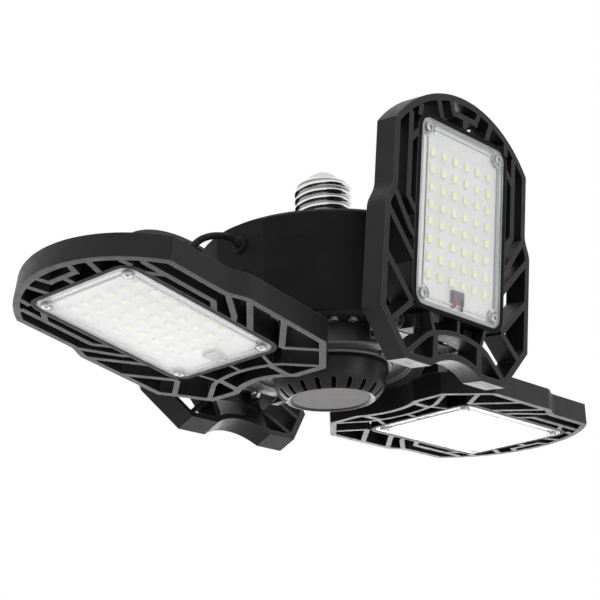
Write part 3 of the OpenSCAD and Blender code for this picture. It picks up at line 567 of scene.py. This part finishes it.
def screws(name, finish, slot, body, form, places, *stands_for):
    """A set of like screws in one piece, each turned a little further than the last."""
    turn_step = 0.7
    forms = []
    for i, place in enumerate(places):
        turned_place = place @ Matrix.Rotation(turn_step * i, 4, "Z")
        forms.append((moved(form, turned_place), finish.material))
    made = piece(name, forms, 30)
    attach(made, body)
    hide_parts(*stands_for)


housing_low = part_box("driver_housing")[0]
post_circle = 47 * mm
post_angles = (44, 54)
screw_turns = [panel.azimuth + radians(angle) for panel in panels.values()
               for angle in post_angles]
screws("housing_cross_screws", dark_steel, "dark_steel", "hub",
       cross_screw(head_r=2.5 * mm, head_h=1.6 * mm, shank_r=1.2 * mm, shank_l=39 * mm),
       [Matrix.Translation((post_circle * cos(t), post_circle * sin(t), housing_low.z))
        for t in screw_turns], "housing_screws")

# ---- Driver ----
# Inside the drum a round green circuit board carries the mains driver: capacitors, a
# transformer and two chokes. Two sleeved wires go up from it to the lamp base, and a rubber
# grommet guards each lead where it leaves the joint of the housing.
board_green = Finish("driver_board_green", 0.35, Coat_Weight=0.4)
board_green.two_tone(400, (0.05, 0.17, 0.08), (0.09, 0.26, 0.12)).grain(1500, 0.00004, 0.4)
dress(board_green, "driver_board")
part_lacquer = Finish("driver_part_lacquer")
part_lacquer.two_tone(120, (0.05, 0.05, 0.06), (0.32, 0.26, 0.12)).uneven(400, 0.25, 0.5)
dress(part_lacquer, "driver_parts")
red_sleeve = Finish("red_wire_sleeve")
red_sleeve.two_tone(300, (0.42, 0.03, 0.03), (0.6, 0.06, 0.05)).uneven(600, 0.3, 0.45)
dress(red_sleeve, "supply_wires")
dress(rubber, "lead_grommets")

# ---- Hinge carrier and vent cap ----
# The carrier is a short black drum screwed under the housing, with four pads whose ears
# hold the hinges. A glossy slotted cap closes it and lets the warm air out, and a plain grey
# plate is pressed into the cap's middle.
# Its wide, light edge colour is a painted highlight along the carrier's edges.
carrier_plastic = moulded_plastic("carrier_plastic", (0.014, 0.014, 0.015), (0.02, 0.02, 0.02),
                                  gloss=0.6, rough=0.34, painted_edge_highlight=(0.22, 0.22, 0.22),
                                  edge_width=1.2 * mm)
dress(carrier_plastic, "hinge_carrier")
# Its light edge colour is a painted highlight on the slot ends and the rim.
cap_gloss = moulded_plastic("gloss_cap_plastic", (0.008, 0.008, 0.009), (0.013, 0.013, 0.013),
                            gloss=0.25, rough=0.36, painted_edge_highlight=(0.16, 0.16, 0.16),
                            edge_width=0.4 * mm)
cap_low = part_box("vent_cap")[0]
plate_radius = 17.4
vent_count = 20
vent_half_width = 1.1
# Where the slots go through the wall: radius and height over the cap's lower face outside,
# share of a slot's width, and radius and height inside, all in mm
slot_wall = [(19.5, 0.14, 1, 18.9, 2.2), (20.1, 0.4, 1, 19.2, 2.3), (21.2, 1.35, 1, 19.9, 2.8),
             (22.2, 2.4, 1, 20.7, 3.5), (22.9, 3.3, 1, 21.3, 4.2), (23.25, 3.85, 0.8, 21.6, 4.7),
             (23.45, 4.2, 0.45, 21.8, 5.0)]
# The cap's section as radius, height and share of a slot's width: from its middle out over
# the seat of the plate, round the lower edge and up the wall, and back down the inside
cap_rows = [(0.5, 2.75, 0), (plate_radius, 2.75, 0), (plate_radius + 0.05, 0.75, 0),
            (18.6, 0.12, 0), (18.95, 0, 0), (19.3, 0.06, 0)]
slot_foot = len(cap_rows)
cap_rows += [row[:3] for row in slot_wall]
cap_rows += [(23.55, 4.4, 0), (23.9, 5, 0), (24.6, 6.8, 0), (25.1, 8.6, 0), (25.5, 10.4, 0),
             (25.75, 11.6, 0), (25.97, 12.5, 0), (26, 12.9, 0), (25.85, 13.6, 0), (25.4, 14, 0),
             (23.7, 14, 0), (23.7, 16.6, 0), (21.7, 16.6, 0), (21.7, 13, 0), (22.7, 9, 0),
             (21.9, 5.2, 0)]
cap_rows += [(r, z, share) for _, _, share, r, z in reversed(slot_wall)]
slot_foot_inside = len(cap_rows) - 1
cap_rows += [(18.5, 3, 0), (17, 3.4, 0), (0.5, 3.4, 0)]


def slotted_cap(columns=7):
    """The cap, turned round Z, with round-ended slots through the curve of its wall."""
    points, faces = [], []
    rows = len(cap_rows)
    pitch = tau / vent_count
    for k in range(vent_count):
        for j in range(columns + 1):
            for r, z, share in cap_rows:
                gap = share * vent_half_width / r
                turn = (k + 0.5) * pitch + gap + (pitch - 2 * gap) * j / columns
                points.append(Vector((r * cos(turn), r * sin(turn), z)) * mm
                              + Vector((0, 0, cap_low.z)))
    for k in range(vent_count):
        start = k * (columns + 1) * rows
        for j in range(columns):
            a, b = start + j * rows, start + (j + 1) * rows
            for i in range(rows):
                n = (i + 1) % rows
                faces.append((a + i, b + i, b + n, a + n))
        for column in (start, start + columns * rows):
            for i in range(-1, len(slot_wall)):
                out_a = column + slot_foot + i
                in_a = column + slot_foot_inside - i
                faces.append((out_a, out_a + 1, in_a - 1, in_a))
    return points, faces


vents = piece("slotted_vent_cap", [(slotted_cap(), cap_gloss.material)], 40)
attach(vents, "hub")
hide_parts("vent_cap")
plate_grey = Finish("grey_plate", Specular_IOR_Level=0.06)
plate_grey.two_tone(150, (0.175, 0.166, 0.162), (0.2, 0.191, 0.187))
plate_grey.uneven(500, 0.6, 0.72).grain(3000, 0.00002, 0.5, 0.2 * mm)
dress(plate_grey, "cap_plate")

carrier_screw_circle = 31.25 * mm
carrier_head = 1.3 * mm
carrier_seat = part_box("carrier_screws")[0].z + carrier_head
screws("carrier_cross_screws", dark_steel, "dark_steel", "hub",
       cross_screw(head_r=2.3 * mm, head_h=carrier_head, shank_r=1.2 * mm, shank_l=11 * mm),
       [Matrix.Translation((carrier_screw_circle * cos(p.azimuth),
                            carrier_screw_circle * sin(p.azimuth), carrier_seat))
        for p in panels.values()], "carrier_screws")

# ---- Panel frames ----
# Each panel's frame is one moulding of black plastic: a rim, a lattice of ribs that lets the
# air through, a sunk tray with cooling fins behind it, and two knuckles for the hinge. The
# inside of the tray is painted white, so that it throws the light out.
tray_middle = 44.55 * mm
opening_half = (40.0 * mm, 28.4 * mm)
opening_corner = 5.1 * mm
land_width = 2.3 * mm
tray_top = -11.2 * mm
frame_gloss = 0.24
land_gloss = 0.05


def frame_finish(panel):
    """The plastic of a frame, which is duller on the land round the lens than on the ribs, and
    darker there with a painted shade.
    """
    # Its edge colour is a painted highlight along the ribs and the rim.
    made = moulded_plastic("frame_plastic_" + panel.letter, (0.006, 0.006, 0.006),
                           (0.01, 0.01, 0.0095), gloss=frame_gloss, rough=0.42,
                           painted_edge_highlight=(0.08, 0.08, 0.077))
    offset = made.vector_step("SUBTRACT", made.on_panel(panel), (tray_middle, 0, 0))
    offset = made.vector_step("ABSOLUTE", offset)
    offset = made.vector_step("SUBTRACT", offset, (opening_half[0] - opening_corner,
                                                   opening_half[1] - opening_corner, 1.0))
    reach = made.vector_step("LENGTH", made.vector_step("MAXIMUM", offset))
    edge = opening_corner + land_width
    land = made.spread(reach, 1.0, 0.0, edge - 0.3 * mm, edge)
    plastic = made.shader.inputs["Base Color"].links[0].from_socket
    made.join(made.spread(land, frame_gloss, land_gloss, 0.0, 1.0),
              made.shader.inputs["Specular IOR Level"])
    # On the land the colour falls to a painted shade.
    body = made.mix(land, plastic, (0.004, 0.004, 0.004))
    height = add_node(made.tree, "ShaderNodeSeparateXYZ")
    made.join(made.on_panel(panel), height.inputs[0])
    inside = add_node(made.tree, "ShaderNodeMath", operation="MULTIPLY")
    made.join(made.spread(reach, 1.0, 0.0, opening_corner - 0.2 * mm, opening_corner - 0.1 * mm),
              inside.inputs[0])
    made.join(made.spread(height.outputs["Z"], 1.0, 0.0, tray_top, tray_top + 0.2 * mm),
              inside.inputs[1])
    return made.colour(made.mix(inside.outputs[0], body, (0.6, 0.6, 0.59)))


for letter, panel in panels.items():
    dress(frame_finish(panel), "frame_" + letter)

# ---- Lamp boards ----
# In each tray lies an aluminium circuit board with a matt white solder mask, under which the
# copper tracks show as a faint relief. It carries 48 light chips in eight rows of six.
row_pitch = 7.5 * mm
column_pitch = 7.7 * mm


def solder_mask(panel):
    """White solder mask with the copper tracks of the board just showing through it."""
    made = Finish("solder_mask_" + panel.letter, Specular_IOR_Level=0.4)
    tracks = add_node(made.tree, "ShaderNodeTexBrick",
                      {"Scale": 1.0, "Mortar Size": 0.25 * mm, "Brick Width": 2 * row_pitch,
                       "Row Height": column_pitch, "Mortar Smooth": 0.3})
    made.join(made.on_panel(panel), tracks.inputs["Vector"])
    line = tracks.outputs["Fac"]
    mottle = made.mix(made.spread(made.noise(260), 0.0, 1.0),
                      (0.73, 0.728, 0.712), (0.79, 0.788, 0.77))
    made.colour(made.mix(line, mottle, (0.66, 0.66, 0.645)))
    bump = add_node(made.tree, "ShaderNodeBump", {"Strength": 0.5, "Distance": 0.05 * mm})
    made.join(line, bump.inputs["Height"])
    made.join(bump.outputs["Normal"], made.shader.inputs["Normal"])
    return made.uneven(900, 0.35, 0.5)


for letter, panel in panels.items():
    dress(solder_mask(panel), "led_board_" + letter)

# ---- Light chips ----
# Each chip is a white plastic cup, 3.5 by 2.8 mm, filled to its rim with pale yellow
# phosphor gel and soldered down by a tinned tab at each end.
chip_white = Finish("chip_cup_white", Specular_IOR_Level=0.4)
chip_white.two_tone(900, (0.8, 0.79, 0.74), (0.86, 0.85, 0.8)).uneven(2000, 0.35, 0.5)
phosphor = Finish("phosphor_gel", 0.3, Specular_IOR_Level=0.45)
phosphor.two_tone(1500, (0.86, 0.86, 0.44), (0.9, 0.91, 0.56)).grain(4000, 0.00002, 0.4)
board_face = -12.7 * mm
chip_rows = 8
chip_columns = 6
chip_length = 3.5 * mm
chip_width = 2.8 * mm
chip_height = 0.65 * mm
well_share = 0.91
tab_length = 0.5 * mm
tab_width = 2.2 * mm
tab_height = 0.12 * mm
tab_reach = 0.15 * mm


def slab(length, width, low, high, taper=1.0):
    """A block with a slightly smaller face at its far end, centred on Z."""
    points = []
    for z, k in ((low, 1.0), (high, taper)):
        points += [Vector((x * length / 2 * k, y * width / 2 * k, z))
                   for x, y in ((-1, -1), (1, -1), (1, 1), (-1, 1))]
    faces = [(3, 2, 1, 0), (4, 5, 6, 7)]
    faces += [(i, (i + 1) % 4, (i + 1) % 4 + 4, i + 4) for i in range(4)]
    return points, faces


def chip_cup():
    """The white cup with its open well, standing on Z from nought."""
    rings = [(1.0, 0.0), (1.0, 0.85), (0.97, 1.0), (well_share, 1.0), (0.84, 0.72)]
    points, faces = [], []
    for k, z in rings:
        points += [Vector((x * chip_length / 2 * k, y * chip_width / 2 * k, z * chip_height))
                   for x, y in ((-1, -1), (1, -1), (1, 1), (-1, 1))]
    for i in range(len(rings) - 1):
        for k in range(4):
            p, q = 4 * i + k, 4 * i + (k + 1) % 4
            faces.append((p, q, q + 4, p + 4))
    last = 4 * (len(rings) - 1)
    return points, faces + [(3, 2, 1, 0), (last, last + 1, last + 2, last + 3)]


face_down = Matrix.Rotation(tau / 2, 4, "X")
for letter, panel in panels.items():
    forms = []
    for row in range(chip_rows):
        for column in range(chip_columns):
            spot = Vector((tray_middle + (row - (chip_rows - 1) / 2) * row_pitch,
                           (column - (chip_columns - 1) / 2) * column_pitch, board_face))
            place = panel.place @ Matrix.Translation(spot) @ face_down
            forms.append((moved(chip_cup(), place), chip_white.material))
            gel = slab(chip_length * well_share, chip_width * well_share,
                       chip_height * 0.7, chip_height * 0.95, taper=0.98)
            forms.append((moved(gel, place), phosphor.material))
            for end in (-1, 1):
                tab = moved(slab(tab_length, tab_width, 0.0, tab_height, taper=0.8),
                            Matrix.Translation((end * (chip_length / 2 + tab_reach), 0, 0)))
                forms.append((moved(tab, place), steel.material))
    chips = piece("light_chips_" + letter, forms, 30)
    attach(chips, panel.body)
    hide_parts("led_chips_" + letter)

# ---- Wire terminals ----
# Near the hinge a dark moulded terminal is soldered to each board. The lead's red and black
# cores come up beside it and are bent over into its two mouths.
terminal_plastic = Finish("terminal_plastic", Specular_IOR_Level=0.4)
terminal_plastic.two_tone(500, (0.06, 0.062, 0.065), (0.11, 0.112, 0.115))
terminal_plastic.uneven(1500, 0.35, 0.5).grain(3000, 0.00003)
black_sleeve = Finish("black_wire_sleeve", 0.4)
black_sleeve.two_tone(300, (0.012, 0.012, 0.013), (0.025, 0.025, 0.025))
terminal_reach = 12.3 * mm
terminal_length = 6 * mm
terminal_width = 8 * mm
terminal_height = 1.7 * mm
mouth_length = 2.4 * mm
mouth_width = 2 * mm
mouth_offset = 2 * mm
mouth_shift = 0.4 * mm
core_radius = 0.5 * mm

for letter, panel in panels.items():
    place = panel.place @ Matrix.Translation((terminal_reach, 0, board_face)) @ face_down
    block = slab(terminal_length, terminal_width, 0.0, terminal_height * 0.94, taper=0.94)
    forms = [(moved(block, place), terminal_plastic.material)]
    for side, sleeve in ((-1, black_sleeve), (1, red_sleeve)):
        mouth = slab(mouth_length, mouth_width, terminal_height * 0.5, terminal_height * 0.97,
                     taper=0.9)
        mouth = moved(mouth, Matrix.Translation((mouth_shift, side * mouth_offset, 0)))
        forms.append((moved(mouth, place), dark_steel.material))
        bow = [(-4.6, 3.4 * side, 0.5), (-4.4, 3.0 * side, 0.9), (-3.6, 2.3 * side, 1.2),
               (-2.6, 2.0 * side, 1.55), (-1.2, 2.0 * side, 1.6), (-0.4, 2.0 * side, 1.1)]
        core = tube(smooth_route([Vector(p) * mm for p in bow], 4), core_radius, sides=10)
        forms.append((moved(core, place), sleeve.material))
    terminal = piece("terminal_block_" + letter, forms, 30)
    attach(terminal, panel.body)
    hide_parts("wire_terminal_" + letter)

# ---- Lenses and seals ----
# A clear plastic lens with a faintly frosted, raised middle closes each tray. It rests on a
# thin silicone seal and is held by a small steel screw in each corner.
clear_plastic = Finish("clear_lens_plastic", 0.27, Transmission_Weight=1.0, IOR=1.46)
clear_plastic.two_tone(90, (0.96, 0.97, 0.975), (0.985, 0.99, 0.99)).grain(1600, 0.00002, 0.3)
silicone = Finish("silicone_seal", 0.5, Subsurface_Weight=0.2)
silicone.two_tone(400, (0.66, 0.67, 0.67), (0.74, 0.75, 0.75))
dull_steel = Finish("dull_screw_steel", Metallic=1.0)
dull_steel.two_tone(900, (0.36, 0.36, 0.37), (0.52, 0.52, 0.53)).uneven(1500, 0.3, 0.45)
frame_face = -15.2 * mm
lens_screw_reaches = (9.0 * mm, 80.1 * mm)
lens_screw_offset = 23.95 * mm

for letter, panel in panels.items():
    dress(clear_plastic, "lens_" + letter)
    frame["nodes"]["lens_" + letter].visible_shadow = False
    dress(silicone, "lens_seal_" + letter)
    screws("lens_cross_screws_" + letter, dull_steel, "bright_steel", panel.body,
           cross_screw(head_r=2.2 * mm, head_h=0.9 * mm, shank_r=1.1 * mm, shank_l=5 * mm),
           [panel.place @ Matrix.Translation((reach, offset, frame_face))
            for reach in lens_screw_reaches for offset in (-lens_screw_offset, lens_screw_offset)],
           "lens_screws_" + letter)

# ---- Hinges ----
# Each panel turns on two steel bolts that go through the carrier's ears and the panel's
# knuckles. Lock nuts squeeze a nylon washer on each, and its friction holds the panel where
# it is put.
nylon = Finish("nylon_washer", 0.45)
nylon.two_tone(500, (0.68, 0.68, 0.66), (0.76, 0.76, 0.74))
bolt_seat = 25.65 * mm

for letter, panel in panels.items():
    sides = [panel.place @ Matrix.Translation((0, side * bolt_seat, 0))
             @ Matrix.Rotation(side * tau / 4, 4, "X") for side in (1, -1)]
    screws("hinge_cross_bolts_" + letter, steel, "bright_steel", panel.body,
           cross_screw(head_r=2.8 * mm, head_h=2.2 * mm, shank_r=1.5 * mm, shank_l=16.8 * mm,
                       pitch=0.5 * mm), sides, "hinge_bolts_" + letter)
    dress(steel, "hinge_nuts_" + letter)
    dress(nylon, "friction_washers_" + letter)
